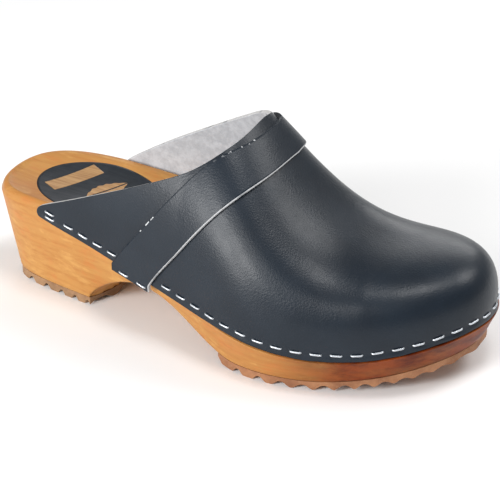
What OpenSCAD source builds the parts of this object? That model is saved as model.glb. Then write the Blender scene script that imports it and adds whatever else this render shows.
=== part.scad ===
// Slip-on wooden clog for the right foot: a carved sole on two ribbed treads, with an
// open-backed leather upper that wire staples hold to the wood.
// X runs from the heel to the toe, Y towards the inner side of the foot, Z up.

/* [Sole] */
// Length of the wooden sole
sole_l = 258; // [230:1:290]
// Width of the wooden sole between its outermost points
sole_w = 104; // [94:1:112]
// Height of the rim at the heel
heel_h = 52; // [45:1:60]
// Thickness of the heel and forefoot treads, ribs included
tread_t = 4.5; // [4:0.25:7]
// Lift of the underside at the toe
toe_spring = 15.3; // [8:0.1:20]
// Depth of the hollow in the footbed
dish = 3; // [1:0.5:4]

/* [Upper] */
// Height of the last's ridge at the instep
instep_h = 120; // [112:1:130]
// Thickness of the leather
leather_t = 2; // [1.6:0.1:2.6]
// How far the strap reaches below the upper's lower edge
strap_drop = 3.5; // [2:0.5:6]

/* [Staples] */
// Length of a staple's crown
crown_l = 6.5; // [5:0.5:9]
// Diameter of the staple wire
wire_d = 1.1; // [1:0.1:1.6]
// Length of a staple's legs
leg_l = 7; // [6:0.5:8]
// Height of the staples above the upper's lower edge
staple_rise = 3.6; // [3:0.2:5]
// Distance from one staple's middle to the next round the vamp
staple_pitch = 9.5; // [9:0.5:12]

/* [Treads] */
// Distance between ribs under the heel
heel_pitch = 9.5; // [8:0.5:12]
// Distance between ribs under the waist end of the forefoot
waist_pitch = 12.5; // [10:0.5:15]
// Distance between ribs under the toe
toe_pitch = 6; // [5:0.5:9]
// Height of a rib
rib_h = 2.5; // [1.5:0.25:3]

/* [Hidden] */

leather_col = [0.13, 0.16, 0.20];
strap_col = [0.16, 0.19, 0.23];
wood_col = [0.84, 0.58, 0.34];
rubber_col = [0.50, 0.34, 0.22];
print_col = [0.20, 0.20, 0.21];
steel_col = [0.82, 0.83, 0.85];
puff_col = [0.85, 0.80, 0.68];

lateral = -1;
medial = 1;

// The design is drawn for this sole length and width, and stretches with them
drawn_l = 258;
drawn_w = 104;
function scaled(p) = [p[0]*sole_l/drawn_l, p[1]*sole_w/drawn_w];

// Corners of the smooth curve that is the sole's outline, from the middle of the heel
// along the outer side to the toe, and back along the inner side
outline = [for (p = [
    [-3, 0], [3, -23], [28, -30], [65, -34], [99, -40], [133, -49], [165, -60], [201, -53], [231, -41],
    [254, -20], [262, 2],
    [252, 29], [229, 46], [197, 46], [161, 38], [126, 39], [92, 38], [60, 34], [27, 36], [2, 26]
]) scaled(p)];

// Heights and sizes at nine equal stations from the heel to the toe
lower_edge_z = [55, 47, 39, 32, 26, 22, 18.2, 21.8, 31]*heel_h/52;
ridge_z = [110, 114, 119, 124, 120.3, 84.5, 59, 58, 62.5]*instep_h/120;
ridge_y = [2, 2, 3, 5, 6, 6, 4, 3, 3];
wall_taper = [8, 5.5, 4, 3, 2.5, 2, 2.8, 3, 1.5];
seat_half_w = [28, 30, 33, 36, 40, 47, 49, 44, 30]*sole_w/drawn_w;

// Rim of the wood: level at the heel and the ball, with a smooth drop between them
rim_ball_z = 28;
rim_drop_from = 40;
rim_drop_to = 205;
rim_toe_lift = 9;

// Underside: heel, breast, arch, ball, toe spring
breast_x = 59.5;
arch_x = 96;
arch_z = 23.5;
breast_power = 0.7;
breast_bulge = 8;
breast_mid_y = -1;
breast_half_w = 29;
breast_crowding = 1.5;
ball_x = 155;
spring_x = 185;
spring_power = 1.8;

// Edge of the footbed and the ledge under the upper
edge_r = 3;
edge_lean = 0.6;
glue_gap = 0.15;
outer_gap = glue_gap + leather_t;
ledge_w = outer_gap + 0.8;
ledge_from = 110;
ledge_to = 165;
ledge_slope = 0.5;
spine_bow = 6;
spine_from = 38;
spine_to = 215;
seat_back_x = 33;
seat_back_l = 36;

// How far in the footbed's rings lie, from its edge at 0 to the line along its middle at 1
bed_rings = [0.15, 0.35, 0.6, 0.85];

// Upper: the collar's edge, by how far forward it is at equal angles up each side
collar_lateral = [26.5, 66, 118, 133, 140, 140];
collar_medial = [40, 69, 112, 131, 140, 140];
tip_angle = 3;
fan_from = 177;
fan_to = 224;
instep_power = [1.1, 0.9];
toe_power = [0.66, 0.63];
toe_blend_from = 120;
toe_blend_to_lateral = 215;
toe_blend_to_medial = 258;

// Strap: its rear and front edges at equal angles up each side
strap_rear = [81, 103, 120.5, 134, 143.5, 144.5];
strap_front = [104, 126.5, 141, 150.5, 156, 157];

// Toe puff: from how far forward it reaches, how low, and how thick it is
puff_from = 200;
puff_angle = 18;
puff_t = 1;

// Print on the heel seat
print_at = [54.5, -1.5];
print_radii = [40, 25.5];
print_turn = -12;
print_t = 0.3;
print_gap = 0.5;

// Strap: how far it stands off the upper, and how much longer its staples' legs are
strap_gap = 0.25;
strap_leg_extra = 3;

// Staples: how far forward the rows beside the heel begin, and how many each group has.
// A pair of values is for the outer side and for the inner side of the foot.
function of_side(pair, side) = side == lateral ? pair[0] : pair[1];
tip_staple_x = [41.5, 53];
quarter_from_x = [52.9, 63];
quarter_pitch = 8.9;
strap_staple_x = [88.5, 99.5];
tip_pair_gap = 3;
quarter_staples = [4, 2];
toe_side_staples = 8;
most_side_staples = 24;
vamp_to_x = 108;

// Place on the outline of the staple nearest the middle of the toe
toe_staple_u = 0.504;

// ---- curves ----

function mix(a, b, t) = a + (b - a)*t;
function limit(v, low, high) = min(max(v, low), high);
function unit(v) = v/norm(v);
function ease(t) = let(c = limit(t, 0, 1)) c*c*(3 - 2*c);

// One span of a uniform cubic B-spline
function span(a, b, c, d, t) =
    (pow(1 - t, 3)*a + (3*pow(t, 3) - 6*t*t + 4)*b + (1 + 3*t + 3*t*t - 3*pow(t, 3))*c + pow(t, 3)*d)/6;

// Item i of a list that carries on straight past its ends
function carried(v, i) =
    let(last = len(v) - 1)
    i < 0 ? 2*v[0] - v[1] : i > last ? 2*v[last] - v[last - 1] : v[i];

// Smooth value of a list of stations, t from 0 at its start to 1 at its end
function smooth(v, t) =
    let(s = limit(t, 0, 1)*(len(v) - 1), i = min(floor(s), len(v) - 2))
    span(carried(v, i - 1), v[i], v[i + 1], carried(v, i + 2), s - i);
function profile(v, x) = smooth(v, x/sole_l);

// Point on the closed outline, u from 0 at the heel to 0.5 at the toe and on to 1
function rim_point(u) =
    let(n = len(outline), s = u*n, i = floor(s))
    span(outline[(i + n - 1)%n], outline[i%n], outline[(i + 1)%n], outline[(i + 2)%n], s - i);
function outward(u) =
    let(d = unit(rim_point(u + 0.0005) - rim_point(u + 1 - 0.0005)))
    [d[1], -d[0]];
function offset_point(u, out) = rim_point(u) + outward(u)*out;

// The origin is under the middle of the whole clog, which is widest at its staples
crown_ring = [for (i = [0:199]) offset_point(i/200, outer_gap + wire_d)];
heel_end = min([for (i = [0:199]) rim_point(i/200)[0]]);
centre = [
    (heel_end + max([for (p = crown_ring) p[0]]))/2,
    (min([for (p = crown_ring) p[1]]) + max([for (p = crown_ring) p[1]]))/2
];

module placed(colour) {
    color(colour) translate([-centre[0], -centre[1], 0]) children();
}

// ---- wooden sole ----

// Room that cutting shapes take beyond the sole, to the sides and lengthways
clear_w = 80;
clear_l = 30;
past_toe = 4;

function rim_z(x) =
    heel_h - (heel_h - rim_ball_z)*ease((x - rim_drop_from)/(rim_drop_to - rim_drop_from))
    + rim_toe_lift*pow(limit((x - rim_drop_to)/(sole_l - rim_drop_to), 0, 1), 2);

// The heel's front face bulges forward in the middle
function breast_at(y) = breast_x + breast_bulge*max(0, 1 - pow((y - breast_mid_y)/breast_half_w, 2));

function underside_z(x, y = -breast_half_w) =
    let(breast = breast_at(y))
    x <= breast ? tread_t
    : x <= arch_x ? tread_t + (arch_z - tread_t)*pow(sin(90*(x - breast)/(arch_x - breast)), breast_power)
    : x <= ball_x ? mix(tread_t, arch_z, (1 + cos(180*(x - arch_x)/(ball_x - arch_x)))/2)
    : x <= spring_x ? tread_t
    : tread_t + toe_spring*pow((x - spring_x)/(sole_l - spring_x), spring_power);

function ledge_z(x) = min(profile(lower_edge_z, x), rim_z(x) - edge_r - 1);
function ledge(x) = ledge_w*ease((x - ledge_from)/(ledge_to - ledge_from));

// Line along the middle of the footbed, which bows outwards
function spine_y(x) = -spine_bow*sin(180*limit(x/sole_l, 0, 1));
function spine_point(p) = [limit(p[0], spine_from, spine_to), spine_y(p[0])];

// Height of the footbed, hollow in the middle and level with the rim at its edge
function footbed_z(x, y) =
    let(across = (y - spine_y(x))/profile(seat_half_w, x),
        back = min(x - seat_back_x, 0)/seat_back_l)
    rim_z(x) - dish*max(0, 1 - across*across - back*back);

module wooden_sole() {
    columns = 96;
    foot = -4;
    function wall(u, z) =
        let(x = rim_point(u)[0], low = underside_z(x), top = ledge_z(x) - ledge_slope,
            out = mix(ledge(x), -profile(wall_taper, x), (top - z)/(top - low)))
        concat(offset_point(u, out), z);
    function wall_top(u) = wall(u, ledge_z(rim_point(u)[0]) - ledge_slope);
    function shoulder(u, angle) =
        concat(offset_point(u, -edge_lean - edge_r*(1 - cos(angle))),
               rim_z(rim_point(u)[0]) - edge_r + edge_r*sin(angle));
    function bed(u, t) =
        let(edge = offset_point(u, -edge_lean - edge_r), p = mix(edge, spine_point(edge), t))
        concat(p, footbed_z(p[0], p[1]));
    places = [for (i = [0:columns - 1]) i/columns];
    rings = [
        [for (u = places) wall(u, foot)],
        [for (u = places) wall_top(u)],
        [for (u = places) concat(offset_point(u, 0), ledge_z(rim_point(u)[0]))],
        for (angle = [0, 30, 60, 90]) [for (u = places) shoulder(u, angle)],
        for (t = bed_rings) [for (u = places) bed(u, t)]
    ];
    placed(wood_col)
    difference() {
        tower(rings, columns);
        under_space();
    }
}

// Space below the underside. Its stations follow the heel's front face across the foot.
module under_space() {
    lines = concat([-clear_w], [for (k = [-4:4]) breast_mid_y + k*breast_half_w/4], [clear_w]);
    tops = [for (y = lines) underside_points(-clear_l, sole_l + clear_l, y)];
    n = len(tops[0]);
    last = len(lines) - 1;
    function id(layer, line, k) = (layer*len(lines) + line)*n + k;
    function quad(a, b, c, d) = [[a, b, c], [a, c, d]];
    skins = [for (line = [0:last - 1]) for (k = [0:n - 2]) each concat(
        quad(id(1, line, k), id(1, line + 1, k), id(1, line + 1, k + 1), id(1, line, k + 1)),
        quad(id(0, line, k), id(0, line, k + 1), id(0, line + 1, k + 1), id(0, line + 1, k)))];
    sides = [for (k = [0:n - 2]) each concat(
        quad(id(0, 0, k), id(1, 0, k), id(1, 0, k + 1), id(0, 0, k + 1)),
        quad(id(0, last, k), id(0, last, k + 1), id(1, last, k + 1), id(1, last, k)))];
    ends = [for (line = [0:last - 1]) each concat(
        quad(id(0, line, 0), id(0, line + 1, 0), id(1, line + 1, 0), id(1, line, 0)),
        quad(id(0, line, n - 1), id(1, line, n - 1), id(1, line + 1, n - 1), id(0, line + 1, n - 1)))];
    points = [for (layer = [0, 1]) for (line = [0:last]) for (k = [0:n - 1])
        let(p = tops[line][k])
        [p[0], lines[line], layer == 1 ? p[1] : -clear_l]];
    polyhedron(points, concat(skins, sides, ends));
}

// Closed solid from rings of points that are stacked upwards, with caps that run across
module tower(rings, columns) {
    last = len(rings) - 1;
    function id(r, i) = r*columns + (i + columns)%columns;
    sides = [for (r = [0:last - 1]) for (i = [0:columns - 1])
        each [[id(r, i), id(r + 1, i), id(r, i + 1)], [id(r, i + 1), id(r + 1, i), id(r + 1, i + 1)]]];
    half = columns/2;
    function cap(r, flip) = [for (i = [0:half - 1])
        let(a = id(r, i), b = id(r, i + 1), c = id(r, -i - 1), d = id(r, -i))
        each [if (a != d) (flip ? [a, d, c] : [a, c, d]), if (b != c) (flip ? [a, c, b] : [a, b, c])]];
    polyhedron([for (ring = rings) each ring], concat(sides, cap(0, false), cap(last, true)));
}

module along_y(width) {
    rotate([90, 0, 0]) linear_extrude(width, center = true) children();
}

// Places along the underside: close together where it curves, none where it is flat
function underside_points(from, to, y = -breast_half_w) =
    let(stations = concat(
        [from],
        [for (k = [0:10]) mix(breast_at(y), arch_x, pow(k/10, breast_crowding))],
        [for (k = [1:14]) mix(arch_x, ball_x, k/14)],
        [for (k = [0:8]) mix(spring_x, sole_l + past_toe, k/8)],
        [to]))
    [for (x = stations) if (x >= from && x <= to) [x, underside_z(min(x, sole_l + past_toe), y)]];

// ---- treads ----

tread_base = tread_t - rib_h;
tread_inset = 0.4;
heel_tread_back = -8;
forefoot_tread_back = 143;
forefoot_tread_front = sole_l - 1.5;
last_rib_l = 4;

// Parts of a rib's pitch at which its crest begins and ends, and its valley begins
crest_from = 0.2;
crest_to = 0.65;
valley_from = 0.85;

// Ribs of one tread as a list of places where each starts
function rib_starts(x, last, pitch_at) =
    x > last ? [] : concat([x], rib_starts(x + pitch_at(x), last, pitch_at));

// Lower side of a tread: each rib has sloping flanks, a flat crest and a valley after it
function rib_points(starts, last) = [for (k = [0:len(starts) - 1])
    let(x = starts[k], next = k < len(starts) - 1 ? starts[k + 1] : last, w = next - x,
        crest_z = underside_z(x + 0.5*w) - tread_t)
    each [
        [x, underside_z(x) - tread_base],
        [x + crest_from*w, crest_z],
        [x + crest_to*w, crest_z],
        [x + valley_from*w, underside_z(next) - tread_base]
    ]];

module tread_outline() {
    columns = 72;
    polygon([for (i = [0:columns - 1]) let(u = i/columns)
        offset_point(u, -profile(wall_taper, rim_point(u)[0]) - tread_inset)]);
}

module heel_tread() {
    front = breast_x + breast_bulge;
    starts = rib_starts(heel_tread_back, front - last_rib_l, function(x) heel_pitch);
    below = [for (p = rib_points(starts, front)) [p[0], min(p[1], tread_t - tread_base)]];
    placed(rubber_col)
    intersection() {
        along_y(2*clear_w) polygon(concat([[front, tread_t], [heel_tread_back, tread_t]], below));
        translate([0, 0, -1]) linear_extrude(tread_t + 2) intersection() {
            tread_outline();
            polygon(concat(
                [[heel_tread_back, clear_w], [heel_tread_back, -clear_w], [breast_x, -clear_w]],
                [for (k = [-10:10]) let(y = breast_mid_y + k*breast_half_w/10) [breast_at(y), y]],
                [[breast_x, clear_w]]));
        }
    }
}

module forefoot_tread() {
    from = forefoot_tread_back;
    to = forefoot_tread_front;
    starts = rib_starts(from, to - last_rib_l,
                        function(x) mix(waist_pitch, toe_pitch, (x - from)/(to - from)));
    below = rib_points(starts, to);
    above = concat(
        [[from, underside_z(from)]],
        underside_points(from + 0.01, to - 0.01),
        [[to, underside_z(to)]]);
    placed(rubber_col)
    intersection() {
        along_y(2*clear_w) polygon(concat([for (k = [len(above) - 1:-1:0]) above[k]], below));
        translate([0, 0, -1]) linear_extrude(tread_t + toe_spring + 2) tread_outline();
    }
}

// ---- upper ----

// Where the upper's outer face meets its lower edge
function edge_point(u) = offset_point(u, outer_gap);

// Place on the outline of the side named, where the upper's lower edge is x forward
function side_u(x, side, low = 0.04, high = 0.5, turns = 22) =
    let(mid = (low + high)/2, u = side == lateral ? mid : 1 - mid)
    turns == 0 ? u
    : edge_point(u)[0] < x ? side_u(x, side, mid, high, turns - 1) : side_u(x, side, low, mid, turns - 1);

// Outer face of the upper: angle 0 is its lower edge and 90 is the ridge. Columns stand
// across the foot behind fan_from, and fan out round the toe ahead of it.
function face(u, angle) =
    let(edge = edge_point(u), x = edge[0],
        room = fan_to - fan_from,
        foot_x = x < fan_from ? x : fan_from + room*(1 - exp((fan_from - x)/room)),
        low = profile(lower_edge_z, x),
        blend_to = u < 0.5 ? toe_blend_to_lateral : toe_blend_to_medial,
        power = mix(instep_power, toe_power, limit((x - toe_blend_from)/(blend_to - toe_blend_from), 0, 1)),
        a = limit(angle, 0, 90),
        in = 1 - pow(cos(a), power[0]),
        up = pow(sin(a), power[1]),
        p = mix(edge, [foot_x, profile(ridge_y, foot_x)], in))
    concat(p, mix(low, profile(ridge_z, p[0]), up) + min(angle, 0));

function face_normal(u, angle) =
    let(a = limit(angle, 1, 89), d = 0.001,
        across = face(u + d, a) - face(u - d, a),
        upward = face(u, a + 0.5) - face(u, a - 0.5),
        n = unit(cross(across, upward)))
    n;

// Point a distance outside the upper's outer face, or inside it where out is negative
function beside(u, angle, out) =
    angle >= 89.9
    ? let(n = unit(face_normal(u, 89) + face_normal(partner(u), 89))) face(u, 90) + n*out
    : face(u, angle) + face_normal(u, angle)*out;

// Place across the foot from u, which meets the ridge at the same point
function partner(u) = side_u(edge_point(u)[0], u < 0.5 ? medial : lateral);

// Solid between two faces beside the upper's own. Each column is [u, lowest angle, highest
// angle]. Columns run from one side round the toe to the other, and where a column and its
// mirror image both reach the ridge they share their last point.
module shell(columns, inner, outer, rows) {
    n = len(columns);
    function closed(c) = columns[c][2] > 89.9;
    function grid(out) = [for (c = columns) for (r = [0:rows])
        beside(c[0], mix(c[1], c[2], r/rows), out)];
    function id(layer, c, r) =
        layer*n*(rows + 1) + (r == rows && closed(c) && c > (n - 1)/2 ? n - 1 - c : c)*(rows + 1) + r;
    function quad(a, b, c, d) = [
        if (a != b && b != c && a != c) [a, b, c],
        if (a != c && c != d && a != d) [a, c, d]];
    skins = [for (c = [0:n - 2]) for (r = [0:rows - 1]) each concat(
        quad(id(1, c, r), id(1, c, r + 1), id(1, c + 1, r + 1), id(1, c + 1, r)),
        quad(id(0, c, r), id(0, c + 1, r), id(0, c + 1, r + 1), id(0, c, r + 1)))];
    lower = [for (c = [0:n - 2]) each quad(id(0, c, 0), id(1, c, 0), id(1, c + 1, 0), id(0, c + 1, 0))];
    collar = [for (c = [0:n - 2]) if (!(closed(c) && closed(c + 1)))
        each quad(id(0, c, rows), id(0, c + 1, rows), id(1, c + 1, rows), id(1, c, rows))];
    ends = [for (r = [0:rows - 1]) each concat(
        quad(id(0, 0, r), id(0, 0, r + 1), id(1, 0, r + 1), id(1, 0, r)),
        quad(id(0, n - 1, r), id(1, n - 1, r), id(1, n - 1, r + 1), id(0, n - 1, r + 1)))];
    polyhedron(concat(grid(inner), grid(outer)), concat(skins, lower, collar, ends));
}

toe_x = edge_point(0.5)[0];

// Columns from x along one side to just short of the toe, closer together near the toe
function side_columns(from, side, low, steps) = [for (k = [0:steps - 1])
    [side_u(toe_x - (toe_x - from)*pow(1 - k/steps, 2), side), low, 90]];

function collar_columns(v, side, steps) = [for (k = [0:steps - 1])
    let(angle = mix(tip_angle, 90, k/steps))
    [side_u(smooth(v, angle/90), side), 0, angle]];

function reversed(v) = [for (k = [len(v) - 1:-1:0]) v[k]];

module upper() {
    collar_x = collar_lateral[len(collar_lateral) - 1];
    columns = concat(
        collar_columns(collar_lateral, lateral, 16),
        side_columns(collar_x, lateral, 0, 22),
        [[0.5, 0, 90]],
        reversed(side_columns(collar_x, medial, 0, 22)),
        reversed(collar_columns(collar_medial, medial, 16)));
    placed(leather_col) shell(columns, -leather_t, 0, 14);
}

module toe_puff() {
    out = -leather_t - glue_gap;
    columns = concat(
        side_columns(puff_from, lateral, puff_angle, 14),
        [[0.5, puff_angle, 90]],
        reversed(side_columns(puff_from, medial, puff_angle, 14)));
    placed(puff_col) shell(columns, out - puff_t, out, 8);
}

module instep_strap() {
    rows = 16;
    across = 5;
    turns = concat([for (r = [0:rows]) [lateral, r]], [for (r = [rows - 1:-1:0]) [medial, r]]);
    function angle(r) = r == 0 ? -strap_drop : 90*(r - 1)/(rows - 1);
    function spot(turn, t, out) =
        let(a = angle(turn[1]), k = max(a, 0)/90, x = mix(smooth(strap_rear, k), smooth(strap_front, k), t))
        beside(side_u(x, turn[0]), a, out);
    layers = [for (out = [strap_gap, strap_gap + leather_t])
        [for (turn = turns) for (k = [0:across]) spot(turn, k/across, out)]];
    n = len(turns);
    function id(layer, c, r) = layer*n*(across + 1) + c*(across + 1) + r;
    function quad(a, b, c, d) = [[a, b, c], [a, c, d]];
    skins = [for (c = [0:n - 2]) for (r = [0:across - 1]) each concat(
        quad(id(0, c, r), id(0, c, r + 1), id(0, c + 1, r + 1), id(0, c + 1, r)),
        quad(id(1, c, r), id(1, c + 1, r), id(1, c + 1, r + 1), id(1, c, r + 1)))];
    edges = [for (c = [0:n - 2]) each concat(
        quad(id(0, c, 0), id(0, c + 1, 0), id(1, c + 1, 0), id(1, c, 0)),
        quad(id(0, c, across), id(1, c, across), id(1, c + 1, across), id(0, c + 1, across)))];
    ends = [for (r = [0:across - 1]) each concat(
        quad(id(0, 0, r), id(1, 0, r), id(1, 0, r + 1), id(0, 0, r + 1)),
        quad(id(0, n - 1, r), id(0, n - 1, r + 1), id(1, n - 1, r + 1), id(1, n - 1, r)))];
    placed(strap_col) polyhedron(concat(layers[0], layers[1]), concat(skins, edges, ends));
}

// ---- print on the heel seat ----

module insole_print() {
    around = 48;
    steps = 5;
    function spot(k, r, lift) =
        let(a = 360*k/around, e = [print_radii[0]*cos(a), print_radii[1]*sin(a)]*r/steps,
            x = print_at[0] + e[0]*cos(print_turn) - e[1]*sin(print_turn),
            y = print_at[1] + e[0]*sin(print_turn) + e[1]*cos(print_turn))
        [x, y, footbed_z(x, y) + print_gap + lift];
    rings = concat(
        [for (r = [1:steps]) [for (k = [0:around - 1]) spot(k, r, 0)]],
        [for (r = [steps:-1:1]) [for (k = [0:around - 1]) spot(k, r, print_t)]]);
    placed(print_col) tower(rings, around);
}

// ---- staples ----

// Staple that lies on the leather at u, with its legs in the wood; rise is its height above
// the upper's lower edge and out how far its crown's inner side is from the upper's face
module staple(u, rise, out = 0, leg = leg_l) {
    bevel = 0.35*wire_d;
    near = 0.002;
    a = concat(edge_point(u - near), profile(lower_edge_z, edge_point(u - near)[0]));
    b = concat(edge_point(u + near), profile(lower_edge_z, edge_point(u + near)[0]));
    forward = unit(b - a);
    n = concat(outward(u), 0);
    up = cross(n, forward);
    at = (a + b)/2 + [0, 0, rise] + n*out;
    half = crown_l/2;
    multmatrix([[forward[0], n[0], up[0], at[0]], [forward[1], n[1], up[1], at[1]],
                [forward[2], n[2], up[2], at[2]]])
        linear_extrude(wire_d, center = true) polygon([
            [-half, -leg], [wire_d - half, -leg], [wire_d - half, 0], [half - wire_d, 0],
            [half - wire_d, -leg], [half, -leg], [half, wire_d - bevel], [half - bevel, wire_d],
            [bevel - half, wire_d], [-half, wire_d - bevel]]);
}

// Place reached from u by going a number of steps of the given length along the edge
function walk(u, step, steps) =
    steps == 0 ? u
    : let(speed = norm(edge_point(u + 0.001) - edge_point(u - 0.001))/0.002)
      walk(u + step/speed, step, steps - 1);

// Place of vamp staple k, counted from the one nearest the middle of the toe towards one side
function vamp_u(k, side) = walk(toe_staple_u, side*staple_pitch/4, 4*k);

module tip_staples(side) {
    placed(steel_col) for (k = [0, 1])
        staple(side_u(of_side(tip_staple_x, side), side), staple_rise + (k - 0.5)*tip_pair_gap);
}

module quarter_row(side) {
    placed(steel_col) for (k = [0:of_side(quarter_staples, side) - 1])
        staple(side_u(of_side(quarter_from_x, side) + k*quarter_pitch, side), staple_rise);
}

module strap_staples(side) {
    placed(steel_col) for (x = strap_staple_x)
        staple(side_u(x, side), -0.5*strap_drop, strap_gap + leather_t, leg_l + strap_leg_extra);
}

module vamp_row(side) {
    placed(steel_col) for (k = [toe_side_staples + 1:most_side_staples])
        if (edge_point(vamp_u(k, side))[0] > vamp_to_x) staple(vamp_u(k, side), staple_rise);
}

module staples_toe() {
    placed(steel_col) {
        staple(toe_staple_u, staple_rise);
        for (side = [lateral, medial]) for (k = [1:toe_side_staples])
            staple(vamp_u(k, side), staple_rise);
    }
}

wooden_sole();
heel_tread();
forefoot_tread();
upper();
instep_strap();
toe_puff();
insole_print();
tip_staples(lateral);  // staples_tip_lateral
quarter_row(lateral);  // staples_quarter_lateral
strap_staples(lateral);  // staples_strap_lateral
vamp_row(lateral);  // staples_vamp_lateral
staples_toe();
vamp_row(medial);  // staples_vamp_medial
strap_staples(medial);  // staples_strap_medial
quarter_row(medial);  // staples_quarter_medial
tip_staples(medial);  // staples_tip_medial
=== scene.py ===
"""Looks of the wooden clog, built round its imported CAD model.

Shapes are worked out in millimetres in the design's own frame, where X runs forward from the heel,
and to_row() puts them in the row frame in metres. The curves are those of the CAD part, with the
slight unevenness of the real thing added. LATERAL is the outer side of the foot and MEDIAL the inner.
"""

import math

import bmesh
import bpy
import numpy as np
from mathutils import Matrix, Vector


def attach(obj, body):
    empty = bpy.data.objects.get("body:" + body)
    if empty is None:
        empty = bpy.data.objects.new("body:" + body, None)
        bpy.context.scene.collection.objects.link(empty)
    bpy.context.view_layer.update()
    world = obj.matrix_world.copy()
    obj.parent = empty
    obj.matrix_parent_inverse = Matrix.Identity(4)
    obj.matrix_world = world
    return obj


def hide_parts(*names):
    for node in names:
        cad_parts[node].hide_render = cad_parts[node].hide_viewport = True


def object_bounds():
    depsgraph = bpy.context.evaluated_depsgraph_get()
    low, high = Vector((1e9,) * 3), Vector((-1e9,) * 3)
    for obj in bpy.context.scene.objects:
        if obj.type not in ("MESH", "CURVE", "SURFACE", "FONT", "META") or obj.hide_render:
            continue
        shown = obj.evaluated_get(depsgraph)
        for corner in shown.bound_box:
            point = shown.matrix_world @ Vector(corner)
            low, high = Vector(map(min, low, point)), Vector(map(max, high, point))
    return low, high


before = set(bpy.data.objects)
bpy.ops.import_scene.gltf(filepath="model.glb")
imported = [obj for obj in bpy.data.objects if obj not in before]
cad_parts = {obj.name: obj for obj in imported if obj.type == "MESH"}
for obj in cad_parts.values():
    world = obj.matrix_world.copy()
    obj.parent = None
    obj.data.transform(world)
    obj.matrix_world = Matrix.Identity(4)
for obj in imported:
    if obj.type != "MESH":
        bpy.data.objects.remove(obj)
cad_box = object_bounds()

LATERAL, MEDIAL = -1, 1
BODY = "root"
EDGE_SLOT, NAP_SLOT, FRAYED_SLOT = 1, 2, 3
STRAP_COLUMNS = 26

# ---- the design's values, in millimetres ----

SOLE_L = 258.0
HEEL_H = 52.0
TREAD_T = 4.5
TOE_SPRING = 15.3
DISH = 3.0
LEATHER_T = 2.0
STRAP_DROP = 3.5
CROWN_L = 6.5
WIRE_D = 1.1
STAPLE_RISE = 3.6
STAPLE_PITCH = 9.5
RIB_H = 2.5

OUTLINE = [
    (-3, 0), (3, -23), (28, -30), (65, -34), (99, -40), (133, -49), (165, -60), (201, -53), (231, -41),
    (254, -20), (262, 2),
    (252, 29), (229, 46), (197, 46), (161, 38), (126, 39), (92, 38), (60, 34), (27, 36), (2, 26),
]
LOWER_EDGE_Z = [55, 47, 39, 32, 26, 22, 18.2, 21.8, 31]
RIDGE_Z = [110, 114, 119, 124, 120.3, 84.5, 59, 58, 62.5]
RIDGE_Y = [2, 2, 3, 5, 6, 6, 4, 3, 3]
WALL_TAPER = [8, 5.5, 4, 3, 2.5, 2, 2.8, 3, 1.5]
SEAT_HALF_W = [28, 30, 33, 36, 40, 47, 49, 44, 30]

RIM_BALL_Z, RIM_DROP_FROM, RIM_DROP_TO, RIM_TOE_LIFT = 28, 40, 205, 9
BREAST_X, ARCH_X, ARCH_Z, BALL_X, SPRING_X, SPRING_POWER = 59.5, 96, 23.5, 155, 185, 1.8
BREAST_POWER, BREAST_BULGE, BREAST_MID_Y, BREAST_HALF_W = 0.7, 8, -1, 29
EDGE_R, EDGE_LEAN = 3.0, 0.6
SPINE_BOW, SPINE_FROM, SPINE_TO = 6, 38, 215
SEAT_BACK_X, SEAT_BACK_L = 33, 36
GLUE_GAP = 0.15
OUTER_GAP = GLUE_GAP + LEATHER_T
LEDGE_W, LEDGE_FROM, LEDGE_TO, LEDGE_SLOPE = OUTER_GAP + 0.8, 110, 165, 0.5

COLLAR = {LATERAL: [26.5, 66, 118, 133, 140, 140], MEDIAL: [40, 69, 112, 131, 140, 140]}
TIP_ANGLE, TIP_BLEND, TIP_R = 3.0, 0.9, 2.4
FAN_FROM, FAN_TO = 177, 224
INSTEP_POWER, TOE_POWER = (1.1, 0.9), (0.66, 0.63)
TOE_BLEND_FROM, TOE_BLEND_TO = 120, {LATERAL: 215, MEDIAL: 258}
STRAP_REAR = [81, 103, 120.5, 134, 143.5, 144.5]
STRAP_FRONT = [104, 126.5, 141, 150.5, 156, 157]
STRAP_GAP = 0.25
PUFF_FROM, PUFF_ANGLE, PUFF_T = 200, 18, 1.0
PRINT_AT, PRINT_RADII, PRINT_TURN = (54.5, -1.5), (40, 25.5), -12
TIP_STAPLE_X, QUARTER_FROM_X = {LATERAL: 41.5, MEDIAL: 53}, {LATERAL: 52.9, MEDIAL: 63}
QUARTER_PITCH, QUARTER_STAPLES = 8.9, {LATERAL: 4, MEDIAL: 2}
STRAP_STAPLE_X = (88.5, 99.5)
TOE_STAPLE_U = 0.504
TIP_PAIR_GAP, TOE_SIDE_STAPLES, VAMP_TO_X, MOST_SIDE_STAPLES = 3.0, 8, 108, 24

TREAD_INSET = 0.4
HEEL_RIBS_FROM, HEEL_RIBS_TO, HEEL_PITCH = -8.0, 75, 9.5
FOREFOOT_RIBS_FROM, FOREFOOT_RIBS_TO, WAIST_PITCH, TOE_PITCH = 143.0, 270, 12.5, 6.0
FOREFOOT_FRONT_GAP = 1.5

# ---- what the looks add to the design, in millimetres unless they are angles ----

TOE_CROWDING = 1.8  # how closely the leather's columns gather towards the toe
PRINT_LIFT, PRINT_MARK_LIFT = 0.1, 0.16
LABEL_AT, LABEL_TURN, LABEL_HALF_L, LABEL_HALF_W = (32.5, 6.0), 62, 14.6, 5.0
LEAF_AT, LEAF_TURN = (53.5, 2.5), 64

# The camera looks at a point beside the middle of the CAD box, from the azimuth, elevation and
# distance given. Metres and degrees.
CAMERA_ASIDE, CAMERA_TARGET_Z = (0.00465, 0.0056), 0.03605
CAMERA_AZIMUTH, CAMERA_ELEVATION, CAMERA_DISTANCE = 26.63, 28.715, 1.0401
CAMERA_LENS, CAMERA_SENSOR = 152.96, 36
LAMP_AIM_Z = 0.05


# ---- curves ----

def mix(a, b, t):
    return a + (b - a) * t


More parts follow.
